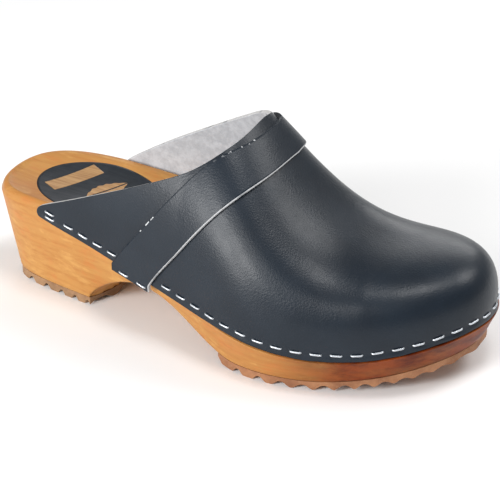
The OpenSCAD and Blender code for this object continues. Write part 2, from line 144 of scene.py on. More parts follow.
def ease(t):
    c = np.clip(t, 0, 1)
    return c * c * (3 - 2 * c)


def span(a, b, c, d, t):
    """One span of a uniform cubic B-spline."""
    t2, t3 = t * t, t * t * t
    return ((1 - t) ** 3 * a + (3 * t3 - 6 * t2 + 4) * b + (1 + 3 * t + 3 * t2 - 3 * t3) * c + t3 * d) / 6


def smooth(values, t):
    """Smooth value of a list of stations, t from 0 to 1, whose ends carry on straight."""
    v = np.array(values, float)
    v = np.concatenate([[2 * v[0] - v[1]], v, [2 * v[-1] - v[-2]]])
    s = np.clip(np.asarray(t, float), 0, 1) * (len(values) - 1)
    i = np.minimum(s.astype(int), len(values) - 2)
    return span(v[i], v[i + 1], v[i + 2], v[i + 3], s - i)


def profile(values, x):
    return smooth(values, np.asarray(x, float) / SOLE_L)


def rim_point(u):
    """Point on the sole's outline, u from 0 at the heel to 0.5 at the toe and on to 1."""
    corners = np.array(OUTLINE, float)
    n = len(corners)
    s = np.asarray(u, float) * n
    i = np.floor(s).astype(int)
    t = (s - i)[..., None]
    return span(corners[(i - 1) % n], corners[i % n], corners[(i + 1) % n], corners[(i + 2) % n], t)


def outward(u):
    d = rim_point(np.asarray(u) + 0.0005) - rim_point(np.asarray(u) - 0.0005)
    d = d / np.linalg.norm(d, axis=-1, keepdims=True)
    return np.stack([d[..., 1], -d[..., 0]], -1)


def offset_point(u, out):
    return rim_point(u) + outward(u) * np.asarray(out, float)[..., None]


def edge_point(u):
    return offset_point(u, np.full(np.shape(u), OUTER_GAP))


def side_u(x, side):
    """Place on the side named where the upper's lower edge is x forward."""
    x = np.asarray(x, float)
    low, high = np.full(x.shape, 0.04), np.full(x.shape, 0.5)
    for _ in range(30):
        mid = (low + high) / 2
        behind = edge_point(mid if side == LATERAL else 1 - mid)[..., 0] < x
        low, high = np.where(behind, mid, low), np.where(behind, high, mid)
    return mid if side == LATERAL else 1 - mid


def centre():
    """Middle of the whole clog's outline at the staples, which the row frame starts from."""
    u = np.arange(200) / 200
    ring = offset_point(u, np.full(200, OUTER_GAP + WIRE_D))
    heel_end = rim_point(u)[:, 0].min()
    return np.array([(heel_end + ring[:, 0].max()) / 2, (ring[:, 1].min() + ring[:, 1].max()) / 2, 0])


CENTRE = centre()


def to_row(points):
    return (np.asarray(points, float) - CENTRE) / 1000


def noise(points, period, seed):
    """Smooth deterministic waviness from -1 to 1 at the points, with roughly the period given."""
    rng = np.random.default_rng(seed)
    total = np.zeros(points.shape[:-1])
    for _ in range(5):
        direction = rng.normal(size=points.shape[-1])
        direction *= 2 * math.pi / period / np.linalg.norm(direction) * rng.uniform(0.6, 1.5)
        total += np.sin(points @ direction + rng.uniform(0, 2 * math.pi))
    return total / 5


# ---- mesh helpers ----

def quads(ids):
    """Faces of a grid of point numbers."""
    a, b, c, d = ids[:-1, :-1], ids[1:, :-1], ids[1:, 1:], ids[:-1, 1:]
    return np.stack([a, b, c, d], -1).reshape(-1, 4)


def clean(faces):
    """Drops repeated corners, and faces that have lost an area."""
    kept = []
    for face in faces:
        corners = [int(v) for i, v in enumerate(face) if v != face[i - 1]]
        if len(set(corners)) >= 3:
            kept.append(corners)
    return kept


def mesh_piece(name, points, faces, materials, closed=True, sharp=40, slots=None):
    """Mesh from points in the design's frame, with points that coincide joined.

    slots, if given, says which of the materials each face has; none of those faces may be dropped.
    """
    mesh = bpy.data.meshes.new(name)
    mesh.from_pydata([tuple(p) for p in to_row(points)], [], clean(faces))
    if slots:
        mesh.polygons.foreach_set("material_index", slots)
    bm = bmesh.new()
    bm.from_mesh(mesh)
    bmesh.ops.remove_doubles(bm, verts=bm.verts, dist=4e-6)
    bmesh.ops.dissolve_degenerate(bm, dist=1e-7, edges=bm.edges)
    loose = [v for v in bm.verts if not v.link_faces]
    bmesh.ops.delete(bm, geom=loose, context="VERTS")
    if closed:
        bmesh.ops.recalc_face_normals(bm, faces=bm.faces)
    bm.to_mesh(mesh)
    bm.free()
    mesh.shade_smooth()
    mesh.set_sharp_from_angle(angle=math.radians(sharp))
    for material in materials:
        mesh.materials.append(material)
    piece = bpy.data.objects.new(name, mesh)
    bpy.context.scene.collection.objects.link(piece)
    return piece


def thicken(piece, thickness, inner_slot, rim_slot, bevel=0.3):
    """Gives a sheet its thickness inwards, with rounded cut edges."""
    solid = piece.modifiers.new("thickness", "SOLIDIFY")
    solid.thickness = thickness / 1000
    solid.offset = -1
    solid.use_even_offset = True
    solid.material_offset = inner_slot
    solid.material_offset_rim = rim_slot
    rounding = piece.modifiers.new("rounding", "BEVEL")
    rounding.width = bevel / 1000
    rounding.segments = 2
    rounding.limit_method = "ANGLE"
    rounding.angle_limit = math.radians(60)


def place(piece, slot, *nodes):
    """The piece stands for the CAD nodes named. slot is not used."""
    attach(piece, BODY)
    if nodes:
        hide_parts(*nodes)
    return piece


# ---- shader helpers ----

def linear(r, g, b):
    """Colour for a shader from 0 to 255 screen values."""
    def one(v):
        c = v / 255
        return c / 12.92 if c <= 0.04045 else ((c + 0.055) / 1.055) ** 2.4
    return (one(r), one(g), one(b), 1)


class Shader:
    """A material with one Principled shader, and short names for the nodes that feed it."""

    def __init__(self, name):
        self.material = bpy.data.materials.new(name)
        self.material.use_nodes = True
        self.tree = self.material.node_tree
        self.bsdf = self.tree.nodes["Principled BSDF"]
        self.position = self.node("ShaderNodeTexCoord").outputs["Object"]

    def node(self, kind, inputs=None, **settings):
        made = self.tree.nodes.new(kind)
        for name, value in settings.items():
            setattr(made, name, value)
        for socket, value in (inputs or {}).items():
            self.put(made.inputs[socket], value)
        return made

    def put(self, socket, value):
        if isinstance(value, bpy.types.NodeSocket):
            self.tree.links.new(value, socket)
        else:
            socket.default_value = value

    def set(self, **values):
        for name, value in values.items():
            self.put(self.bsdf.inputs[name.replace("_", " ")], value)

    def math(self, operation, a, b=0.0, clamp=False):
        return self.node("ShaderNodeMath", {0: a, 1: b}, operation=operation, use_clamp=clamp).outputs[0]

    def stretch(self, x, y, z, source=None):
        """Position in metres times a scale along each axis."""
        inputs = {0: source or self.position, 1: (x, y, z)}
        return self.node("ShaderNodeVectorMath", inputs, operation="MULTIPLY").outputs[0]

    def noise(self, scale, detail=3.0, roughness=0.5, vector=None):
        inputs = {"Vector": vector or self.position, "Scale": scale, "Detail": detail, "Roughness": roughness}
        return self.node("ShaderNodeTexNoise", inputs).outputs["Fac"]

    def cells(self, scale, vector=None, feature="F1"):
        inputs = {"Vector": vector or self.position, "Scale": scale}
        return self.node("ShaderNodeTexVoronoi", inputs, feature=feature).outputs["Distance"]

    def ramp(self, value, low, high, to_low=0.0, to_high=1.0):
        inputs = {"Value": value, "From Min": low, "From Max": high, "To Min": to_low, "To Max": to_high}
        return self.node("ShaderNodeMapRange", inputs, interpolation_type="SMOOTHSTEP").outputs["Result"]

    def blend(self, amount, a, b, mode="MIX"):
        made = self.node("ShaderNodeMix", data_type="RGBA", blend_type=mode)
        for socket, value in ((0, amount), (6, a), (7, b)):
            self.put(made.inputs[socket], value)
        return made.outputs[2]

    def bump(self, height, distance_mm, normal=None, strength=1.0):
        inputs = {"Height": height, "Distance": distance_mm / 1000, "Strength": strength}
        if normal is not None:
            inputs["Normal"] = normal
        return self.node("ShaderNodeBump", inputs).outputs["Normal"]

    def axis(self, name):
        return self.node("ShaderNodeSeparateXYZ", {0: self.position}).outputs[name]


# ---- materials ----

def leather(name, dark, light, worn):
    """Smooth pigmented leather: fine grain, faint cloudiness and a soft sheen."""
    s = Shader(name)
    cloud = s.noise(38, 4, 0.55)
    colour = s.blend(s.ramp(cloud, 0.35, 0.68), dark, light)
    speck = s.ramp(s.noise(900, 2, 0.5), 0.66, 0.78)
    colour = s.blend(s.math("MULTIPLY", speck, 0.25), colour, worn)
    grain = s.math("MULTIPLY", s.cells(1150), s.noise(240, 2, 0.5))
    pores = s.noise(1700, 2, 0.6)
    creases = s.noise(60, 5, 0.6, s.stretch(1.0, 2.2, 2.2))
    normal = s.bump(creases, 0.12, strength=0.25)
    normal = s.bump(grain, 0.12, normal, strength=0.8)
    normal = s.bump(pores, 0.03, normal, strength=0.6)
    rough = s.ramp(s.noise(95, 4, 0.6), 0.3, 0.7, 0.35, 0.4)
    s.set(Base_Color=colour, Roughness=rough, Normal=normal)
    s.set(Specular_IOR_Level=0.33, Coat_Weight=0.08, Coat_Roughness=0.25)
    return s.material


def suede(name, light, dark):
    """Raw flesh side of the leather: short nap, mottled and matt."""
    s = Shader(name)
    mottle = s.noise(260, 6, 0.7)
    colour = s.blend(s.ramp(mottle, 0.33, 0.66), light, dark)
    fleck = s.ramp(s.noise(1300, 3, 0.7), 0.6, 0.75)
    colour = s.blend(s.math("MULTIPLY", fleck, 0.3), colour, linear(128, 126, 127))
    normal = s.bump(s.noise(420, 5, 0.7), 0.35, strength=0.5)
    normal = s.bump(s.noise(2200, 3, 0.7), 0.12, normal, strength=0.6)
    s.set(Base_Color=colour, Roughness=s.ramp(mottle, 0.3, 0.7, 0.85, 0.97), Normal=normal)
    s.set(Specular_IOR_Level=0.2, Sheen_Weight=0.35, Sheen_Roughness=0.5)
    return s.material


def cut_edge(name, pale, stained):
    """Cut edge of the leather: pale fibres with some of the finish's colour on them."""
    s = Shader(name)
    fibre = s.noise(900, 4, 0.7)
    patch = s.noise(110, 3, 0.6)
    colour = s.blend(s.ramp(fibre, 0.4, 0.7, 0.0, 0.5), pale, linear(150, 147, 143))
    colour = s.blend(s.ramp(patch, 0.58, 0.7, 0.0, 0.6), colour, stained)
    s.set(Base_Color=colour, Roughness=s.ramp(fibre, 0.3, 0.7, 0.8, 0.95))
    s.set(Normal=s.bump(fibre, 0.2, strength=0.6), Specular_IOR_Level=0.25)
    return s.material


def frayed_edge(name):
    """Finished leather beside a rough cut, with pale fibres standing out of it here and there."""
    s = Shader(name)
    tuft = s.ramp(s.noise(420, 2, 0.5), 0.58, 0.64)
    sparse = s.ramp(s.noise(55, 2, 0.5), 0.45, 0.6)
    colour = s.blend(s.math("MULTIPLY", tuft, sparse), linear(20, 29, 39), linear(196, 198, 200))
    s.set(Base_Color=colour, Roughness=s.ramp(tuft, 0.0, 1.0, 0.5, 0.95))
    s.set(Normal=s.bump(tuft, 0.15, strength=0.6), Specular_IOR_Level=0.25)
    return s.material


def wood(name):
    """Lacquered alder: growth rings round a line below the sole, streaked along the foot.

    The toe is darker and blotchy, partly a stain and partly painted shade, coming in smoothly over a few
    centimetres.
    """
    s = Shader(name)
    ring_pitch, core_y, core_z = 0.0052, -0.021, -0.055
    drift = s.noise(9, 3, 0.5, s.stretch(0.35, 1.4, 1.4))
    across = s.math("ADD", s.axis("Y"), -core_y)
    below = s.math("ADD", s.axis("Z"), -core_z)
    radius = s.math("SQRT", s.math("ADD", s.math("POWER", across, 2.0), s.math("POWER", below, 2.0)))
    radius = s.math("ADD", radius, s.math("MULTIPLY", drift, 0.03))
    ring = s.math("SINE", s.math("MULTIPLY", radius, 2 * math.pi / ring_pitch))
    late = s.ramp(ring, 0.25, 1.0)
    streak = s.noise(1, 5, 0.6, s.stretch(26, 520, 520))
    fibre = s.noise(1, 4, 0.65, s.stretch(90, 2100, 2100))
    cloud = s.noise(16, 3, 0.5, s.stretch(0.6, 1.6, 1.6))
    colour = s.blend(s.ramp(cloud, 0.32, 0.68), linear(190, 139, 77), linear(175, 121, 64))
    colour = s.blend(s.math("MULTIPLY", late, 0.24), colour, linear(166, 104, 52))
    fleck = s.noise(150, 5, 0.65, s.stretch(0.45, 1.0, 1.0))
    colour = s.blend(s.ramp(fleck, 0.48, 0.7, 0.0, 0.42), colour, linear(196, 112, 58))
    colour = s.blend(s.ramp(fleck, 0.3, 0.46, 0.35, 0.0), colour, linear(216, 169, 100))
    colour = s.blend(s.ramp(streak, 0.45, 0.72, 0.0, 0.4), colour, linear(160, 98, 47))
    pore = s.ramp(s.noise(1, 3, 0.6, s.stretch(170, 2600, 2600)), 0.66, 0.74)
    colour = s.blend(s.math("MULTIPLY", pore, 0.45), colour, linear(142, 84, 44))
    # Darker, blotchy colour towards the toe: partly a stain, partly painted shade.
    toe = s.ramp(s.axis("X"), 0.036, 0.085)
    blotch = s.ramp(s.noise(42, 4, 0.6, s.stretch(0.8, 0.8, 2.2)), 0.34, 0.58, 0.82, 1.0)
    toe_stain_and_shade = s.ramp(s.noise(85, 5, 0.7, s.stretch(0.7, 0.7, 1.6)), 0.36, 0.64)
    toe_stain_and_shade = s.blend(toe_stain_and_shade, linear(132, 60, 20), linear(86, 30, 8))
    colour = s.blend(s.math("MULTIPLY", toe, blotch), colour, toe_stain_and_shade)
    normal = s.bump(streak, 0.08, strength=0.35)
    normal = s.bump(fibre, 0.03, normal, strength=0.4)
    rough = s.ramp(s.noise(60, 3, 0.6), 0.3, 0.7, 0.36, 0.5)
    s.set(Base_Color=colour, Roughness=rough, Normal=normal)
    s.set(Coat_Weight=0.03, Coat_Roughness=0.2, Specular_IOR_Level=0.16)
    return s.material


def rubber(name, light, dark):
    """Moulded brown rubber, scuffed and dusty in patches."""
    s = Shader(name)
    cloud = s.noise(70, 4, 0.6)
    colour = s.blend(s.ramp(cloud, 0.35, 0.68), light, dark)
    dust = s.ramp(s.noise(700, 4, 0.7), 0.52, 0.7)
    colour = s.blend(s.math("MULTIPLY", dust, 0.3), colour, linear(186, 150, 116))
    normal = s.bump(s.noise(320, 4, 0.6), 0.15, strength=0.5)
    normal = s.bump(s.noise(1500, 3, 0.6), 0.05, normal, strength=0.6)
    s.set(Base_Color=colour, Roughness=s.ramp(cloud, 0.3, 0.7, 0.55, 0.75), Normal=normal)
    s.set(Specular_IOR_Level=0.4)
    return s.material


def wire(name):
    """Bright drawn wire with fine scratches along it."""
    s = Shader(name)
    scratch = s.noise(1, 3, 0.6, s.stretch(900, 3200, 3200))
    colour = s.blend(s.ramp(scratch, 0.35, 0.7), linear(222, 227, 233), linear(186, 191, 198))
    s.set(Base_Color=colour, Roughness=s.ramp(scratch, 0.3, 0.7, 0.28, 0.42))
    s.set(Metallic=0.85, Normal=s.bump(scratch, 0.02, strength=0.5))
    return s.material


def ink(name):
    """Dark transfer print, slightly worn, over the wood's streaks."""
    s = Shader(name)
    streak = s.noise(1, 4, 0.6, s.stretch(60, 900, 900))
    colour = s.blend(s.ramp(s.noise(90, 4, 0.6), 0.35, 0.7), linear(28, 33, 39), linear(40, 44, 50))
    colour = s.blend(s.ramp(streak, 0.62, 0.8, 0.0, 0.25), colour, linear(78, 74, 70))
    s.set(Base_Color=colour, Roughness=s.ramp(streak, 0.3, 0.7, 0.42, 0.55))
    s.set(Normal=s.bump(streak, 0.04, strength=0.4), Specular_IOR_Level=0.22)
    return s.material


def bare_label(name):
    """Wood that shows through the print's label and leaf."""
    s = Shader(name)
    streak = s.noise(1, 5, 0.6, s.stretch(40, 700, 700))
    colour = s.blend(s.ramp(streak, 0.35, 0.7), linear(176, 138, 92), linear(146, 106, 66))
    s.set(Base_Color=colour, Roughness=s.ramp(streak, 0.3, 0.7, 0.4, 0.52))
    s.set(Normal=s.bump(streak, 0.04, strength=0.4), Specular_IOR_Level=0.4)
    return s.material


def stiffener_board(name):
    """Pale pressed-fibre board with a woven look."""
    s = Shader(name)
    weave = s.math("MULTIPLY", s.math("SINE", s.math("MULTIPLY", s.axis("X"), 4200.0)),
                   s.math("SINE", s.math("MULTIPLY", s.axis("Y"), 4200.0)))
    colour = s.blend(s.ramp(weave, -0.6, 0.6), linear(196, 184, 158), linear(226, 216, 194))
    colour = s.blend(s.ramp(s.noise(120, 4, 0.6), 0.4, 0.7, 0.0, 0.4), colour, linear(176, 164, 140))
    s.set(Base_Color=colour, Roughness=s.ramp(weave, -1.0, 1.0, 0.8, 0.95))
    s.set(Normal=s.bump(weave, 0.1, strength=0.5))
    return s.material


# ---- wooden sole ----

def rim_z(x):
    drop = ease((x - RIM_DROP_FROM) / (RIM_DROP_TO - RIM_DROP_FROM))
    lift = np.clip((x - RIM_DROP_TO) / (SOLE_L - RIM_DROP_TO), 0, 1) ** 2
    return HEEL_H - (HEEL_H - RIM_BALL_Z) * drop + RIM_TOE_LIFT * lift


def breast_at(y):
    """How far forward the heel's front face is; it bulges in the middle."""
    return BREAST_X + BREAST_BULGE * np.maximum(0, 1 - ((y - BREAST_MID_Y) / BREAST_HALF_W) ** 2)


def underside_z(x, y=-BREAST_HALF_W):
    x = np.asarray(x, float)
    breast = breast_at(np.asarray(y, float))
    rise = np.sin(np.radians(90 * np.clip((x - breast) / (ARCH_X - breast), 0, 1))) ** BREAST_POWER
    fall = (1 + np.cos(np.radians(180 * np.clip((x - ARCH_X) / (BALL_X - ARCH_X), 0, 1)))) / 2
    spring = np.clip((x - SPRING_X) / (SOLE_L - SPRING_X), 0, None) ** SPRING_POWER
    behind = TREAD_T + (ARCH_Z - TREAD_T) * rise
    return np.where(x <= ARCH_X, behind, mix(TREAD_T, ARCH_Z, fall)) + TOE_SPRING * spring


def ledge_z(x):
    return np.minimum(profile(LOWER_EDGE_Z, x), rim_z(x) - EDGE_R - 1)


def ledge(x):
    return LEDGE_W * ease((x - LEDGE_FROM) / (LEDGE_TO - LEDGE_FROM))


def spine_y(x):
    return -SPINE_BOW * np.sin(np.pi * np.clip(x / SOLE_L, 0, 1))


def footbed_z(x, y):
    across = (y - spine_y(x)) / profile(SEAT_HALF_W, x)
    back = np.minimum(x - SEAT_BACK_X, 0) / SEAT_BACK_L
    return rim_z(x) - DISH * np.maximum(0, 1 - across * across - back * back)


def wall_out(x, z):
    """How far out from the outline the side wall is at height z."""
    low, top = underside_z(x), ledge_z(x) - LEDGE_SLOPE
    return mix(ledge(x), -profile(WALL_TAPER, x), (top - z) / (top - low))


def join(flat, z):
    return np.concatenate([flat, np.broadcast_to(z, flat.shape[:-1])[..., None]], -1)


def bottom_rings(u, radius=1.2, steps=4):
    """Rounded edge between the underside and the side wall, from the underside up."""
    x = rim_point(u)[:, 0]
    z = underside_z(x)
    for _ in range(4):  # the wall leans in, so height and place are settled together
        z = underside_z(offset_point(u, wall_out(x, z) - radius)[:, 0])
    rings = []
    for angle in np.radians(np.linspace(0, 90, steps)):
        height = z + radius * (1 - np.cos(angle))
        flat = offset_point(u, wall_out(x, height) - radius * (1 - np.sin(angle)))
        rings.append(join(flat, height))
    return rings


def wall_rings(u, start_z, rows):
    x = rim_point(u)[:, 0]
    top = ledge_z(x) - LEDGE_SLOPE
    rings = []
    for t in np.linspace(0, 1, rows + 1)[1:]:
        z = mix(start_z, top, t)
        rings.append(join(offset_point(u, wall_out(x, z)), z))
    return rings


def shoulder_rings(u, steps=9):
    """From the ledge up the hidden wall and over the rounded rim."""
    x = rim_point(u)[:, 0]
    rings = [join(offset_point(u, np.zeros(len(u))), ledge_z(x))]
    for angle in np.radians(np.linspace(0, 90, steps)):
        out = -EDGE_LEAN - EDGE_R * (1 - np.cos(angle))
        rings.append(join(offset_point(u, np.full(len(u), out)), rim_z(x) - EDGE_R + EDGE_R * np.sin(angle)))
    return rings


def bed_rings(u, rows):
    edge = offset_point(u, np.full(len(u), -EDGE_LEAN - EDGE_R))
    spine_x = np.clip(edge[:, 0], SPINE_FROM, SPINE_TO)
    spine = np.stack([spine_x, spine_y(edge[:, 0])], -1)
    rings = []
    for t in np.linspace(0, 1, rows + 1)[1:]:
        flat = mix(edge, spine, t)
        rings.append(join(flat, footbed_z(flat[:, 0], flat[:, 1])))
    return rings


def underside_cap(ring, across):
    """Grid that runs across under the sole between the two sides of its lowest ring."""
    half = len(ring) // 2
    a = ring[: half + 1]
    b = ring[(-np.arange(half + 1)) % len(ring)]
    grid = np.stack([mix(a, b, t) for t in np.linspace(0, 1, across + 1)])
    grid[..., 2] = underside_z(grid[..., 0], grid[..., 1])
    return grid


def make_sole(material):
    columns, across, wall_rows, bed_rows = 520, 26, 12, 26
    u = np.arange(columns) / columns
    rings = bottom_rings(u)
    rings += wall_rings(u, rings[-1][:, 2], wall_rows)
    rings += shoulder_rings(u)
    rings += bed_rings(u, bed_rows)
    grid = np.stack(rings)
    ids = np.arange(grid.shape[0] * columns).reshape(grid.shape[0], columns)
    ids = np.concatenate([ids, ids[:, :1]], 1)
    cap = underside_cap(rings[0], across)
    cap_ids = grid.shape[0] * columns + np.arange(cap.shape[0] * cap.shape[1]).reshape(cap.shape[:2])
    points = np.concatenate([grid.reshape(-1, 3), cap.reshape(-1, 3)])
    faces = np.concatenate([quads(ids), quads(cap_ids)])
    sole = mesh_piece("sole_wood", points, faces, [material], sharp=32)
    return place(sole, "wood", "wooden_sole")


# ---- treads ----

def tread_line(u):
    return offset_point(u, -TREAD_INSET - profile(WALL_TAPER, rim_point(u)[..., 0]))


def tread_sides(x):
    """The tread's two edges across the foot at x."""
    sides = []
    steps = 1500
    for u in (np.linspace(0, 0.5, steps), np.linspace(1, 0.5, steps)):
        line = tread_line(u)
        sides.append(np.interp(x, np.maximum.accumulate(line[:, 0]), line[:, 1]))
    return sides


def rib_phase(x, starts):
    """How far along its own rib a place is, from 0 to 1."""
    k = np.clip(np.searchsorted(starts, x, side="right") - 1, 0, len(starts) - 2)
    return (x - starts[k]) / (starts[k + 1] - starts[k])


def rib_height(phase, flank=0.24, valley_from=0.92):
    """Rounded crest with sloping flanks, and a narrow valley after it."""
    return np.minimum(ease(phase / flank), ease((valley_from - phase) / flank))


def make_tread(name, node, material, x, y, rib):
    """Closed plate under the sole, from a grid of places and how high its ribs stand there."""
    base = underside_z(x, y)
    depth = TREAD_T - RIB_H + RIB_H * rib
    grid = np.stack([np.stack([x, y, base], -1), np.stack([x, y, base - depth], -1)])
    ids = np.arange(2 * y.size).reshape(2, *y.shape)
    rows, columns = y.shape
    walls = [np.stack([ids[0, r], ids[1, r]]) for r in (0, rows - 1)]
    walls += [np.stack([ids[0, :, c], ids[1, :, c]]) for c in (0, columns - 1)]
    faces = [quads(ids[0]), quads(ids[1])] + [quads(w) for w in walls]
    tread = mesh_piece(name, grid.reshape(-1, 3), np.concatenate(faces), [material], sharp=38)
    return place(tread, "rubber", node)


def tread_grid(x, across=64):
    low, high = tread_sides(x)
    y = np.stack([mix(low, high, t) for t in np.linspace(0, 1, across + 1)])
    return np.broadcast_to(x, y.shape), y


def rib_starts(x, last, pitch_at):
    """Where each rib starts, from x to beyond last, with the pitch there."""
    starts = [x]
    while starts[-1] < last:
        starts.append(starts[-1] + pitch_at(starts[-1]))
    return np.array(starts)


def make_heel_tread(material):
    """Heel tread, whose ribs waver and turn with the heel's front face near it."""
    fine_l, step = 6, 0.35
    wave, wave_l = 1.2, 2.9
    back = tread_line(np.array(0.0))[0]
    behind = back + fine_l * np.linspace(0, 1, 26) ** 2
    ahead = np.arange(back + 1.05 * fine_l, BREAST_X, step)
    x, y = tread_grid(np.concatenate([behind, ahead, [BREAST_X]]))
    bulge = (breast_at(y) - BREAST_X) * ease((x - 20) / 35)
    starts = rib_starts(HEEL_RIBS_FROM, HEEL_RIBS_TO, lambda v: HEEL_PITCH)
    rib = rib_height(rib_phase(x + wave * np.sin(y / wave_l), starts))
    make_tread("tread_heel_rubber", "heel_tread", material, x + bulge, y, rib)


def make_forefoot_tread(material):
    """Forefoot tread, whose ribs get closer, sharper and shallower towards the toe."""
    fine_l, step = 8, 0.35
    back = FOREFOOT_RIBS_FROM
    end = min(SOLE_L - FOREFOOT_FRONT_GAP, tread_line(np.array(0.5))[0])
    ahead = end - fine_l * np.linspace(1, 0, 40) ** 2
    x, y = tread_grid(np.concatenate([np.arange(back, end - fine_l - 0.2, step), ahead]))

    def pitch_at(v):
        return mix(WAIST_PITCH, TOE_PITCH, min((v - back) / (end - back), 1))

    starts = rib_starts(back, FOREFOOT_RIBS_TO, pitch_at)
    flank = mix(0.22, 0.5, ease((x - back - 10) / 40))
    rib = mix(rib_height(rib_phase(x, starts), flank), 1, 0.5 * ease((x - 205) / 40))
    make_tread("tread_forefoot_rubber", "forefoot_tread", material, x, y, rib)


# ---- upper ----

def face(u, angle):
    """Outer face of the upper: angle 0 is its lower edge and 90 is the ridge."""
    edge = edge_point(u)
    x = edge[..., 0]
    room = FAN_TO - FAN_FROM
    foot_x = np.where(x < FAN_FROM, x, FAN_FROM + room * (1 - np.exp(np.minimum(0, FAN_FROM - x) / room)))
    foot = np.stack([foot_x, profile(RIDGE_Y, foot_x)], -1)
    blend_to = np.where(np.asarray(u) < 0.5, TOE_BLEND_TO[LATERAL], TOE_BLEND_TO[MEDIAL])
    toe = np.clip((x - TOE_BLEND_FROM) / (blend_to - TOE_BLEND_FROM), 0, 1)
    a = np.radians(np.clip(angle, 0, 90))
    inward = 1 - np.clip(np.cos(a), 0, 1) ** mix(INSTEP_POWER[0], TOE_POWER[0], toe)
    upward = np.sin(a) ** mix(INSTEP_POWER[1], TOE_POWER[1], toe)
    flat = mix(edge, foot, inward[..., None])
    z = mix(profile(LOWER_EDGE_Z, x), profile(RIDGE_Z, flat[..., 0]), upward) + np.minimum(angle, 0)
    return join(flat, z)


def face_normal(u, angle):
    a, d = np.clip(angle, 1, 89), 0.001
    across = face(u + d, a) - face(u - d, a)
    upward = face(u, a + 0.5) - face(u, a - 0.5)
    n = np.cross(across, upward)
    return n / np.linalg.norm(n, axis=-1, keepdims=True)


def partner(u):
    """Place across the foot from u, on the other side."""
    x = edge_point(u)[..., 0]
    return np.where(u < 0.5, side_u(x, MEDIAL), side_u(x, LATERAL))


def beside(u, angle, out):
    """Point a distance outside the upper's outer face."""
    normal = face_normal(u, angle)
    top = np.asarray(angle) > 89.9
    if np.any(top):
        level = np.full(np.shape(u), 89.0)
        both = face_normal(u, level) + face_normal(partner(u), level)
        both /= np.linalg.norm(both, axis=-1, keepdims=True)
        normal = np.where(top[..., None], both, normal)
    return face(u, angle) + normal * np.asarray(out)[..., None]


def row_angles(low_rows, rows):
    """Angles of the rows: close together at the staples, and then evenly spaced along the leather."""
    start = np.degrees(np.arcsin((np.linspace(0, 1, low_rows + 1) * 0.2) ** 1.3))
    fine = np.linspace(start[-1], 90, 900)
    line = face(np.full(900, side_u(np.array(190.0), LATERAL)), fine)
    length = np.concatenate([[0], np.cumsum(np.linalg.norm(np.diff(line, axis=0), axis=1))])
    rest = np.interp(np.linspace(0, length[-1], rows + 1)[1:], length, fine)
    return np.concatenate([start, rest])


def upper_columns(side, angles):
    """How far forward each column is at each row, from the collar's edge to the toe's middle."""
    beyond = TIP_ANGLE + TIP_BLEND * np.logaddexp(0, (angles - TIP_ANGLE) / TIP_BLEND)
    corner = np.clip(1 - angles / (0.62 * TIP_ANGLE), 0, 1)
    collar = smooth(COLLAR[side], beyond / 90) + TIP_R * (1 - np.sqrt(1 - corner ** 2))
    toe_x = edge_point(np.array(0.5))[0]
    back = [mix(collar, FAN_FROM, t) for t in np.linspace(0, 1, 121)]
    front = [np.full(len(angles), toe_x - (toe_x - FAN_FROM) * (1 - t) ** TOE_CROWDING)
             for t in np.linspace(0, 1, 85)[1:]]
    return np.stack(back + front)


def staple_marks(points, spots):
    """How much the staples press the leather in, from 0 to 1."""
    half_l, half_h, reach = 3.6, 1.5, 12
    press = np.zeros(points.shape[:-1])
    for spot in spots:
        d = points - spot["at"]
        along = d @ spot["forward"]
        above = d @ spot["up"]
        mark = np.exp(-(along / half_l) ** 4 - (above / half_h) ** 2)
        press = np.maximum(press, mark * (np.abs(d).max(-1) < reach))
    return press


def make_upper(materials, spots):
    """Upper, with its lower edge flared, its toe pleated and its leather pressed in at the staples."""
    flare_out, flare_h = 0.55, 3.4
    sag_out, sag_l, sag_h = 0.16, 46, 14
    pleat_out, pleat_l, pleat_h, pleat_from_x, pleat_fade_l = 0.3, 6.5, 7.5, 140, 60
    press_in = 0.22
    angles = row_angles(16, 72)
    sides = []
    for side in (LATERAL, MEDIAL):
        x = upper_columns(side, angles)
        u = side_u(x, side)
        angle = np.broadcast_to(angles, x.shape)
        plain = face(u, angle)
        height = plain[..., 2] - profile(LOWER_EDGE_Z, edge_point(u)[..., 0])
        flare = flare_out * ease((flare_h - height) / flare_h) * (0.8 + 0.4 * noise(plain, 26, 5))
        sag = sag_out * noise(plain, sag_l, 2) * ease(height / sag_h)
        pleats = pleat_out * noise(plain, pleat_l, 9) * ease((pleat_h - height) / pleat_h)
        pleats *= ease((plain[..., 0] - pleat_from_x) / pleat_fade_l)
        out = flare + sag + pleats - press_in * staple_marks(plain, spots)
        sides.append(beside(u, angle, out))
    grid = np.concatenate([sides[0], sides[1][::-1]])
    ids = np.arange(grid.shape[0] * grid.shape[1]).reshape(grid.shape[:2])
    upper = mesh_piece("upper_leather", grid.reshape(-1, 3), quads(ids), materials, closed=False, sharp=60)
    thicken(upper, LEATHER_T - 0.1, 2, 1)
    return place(upper, "leather", "upper")


# ---- strap ----

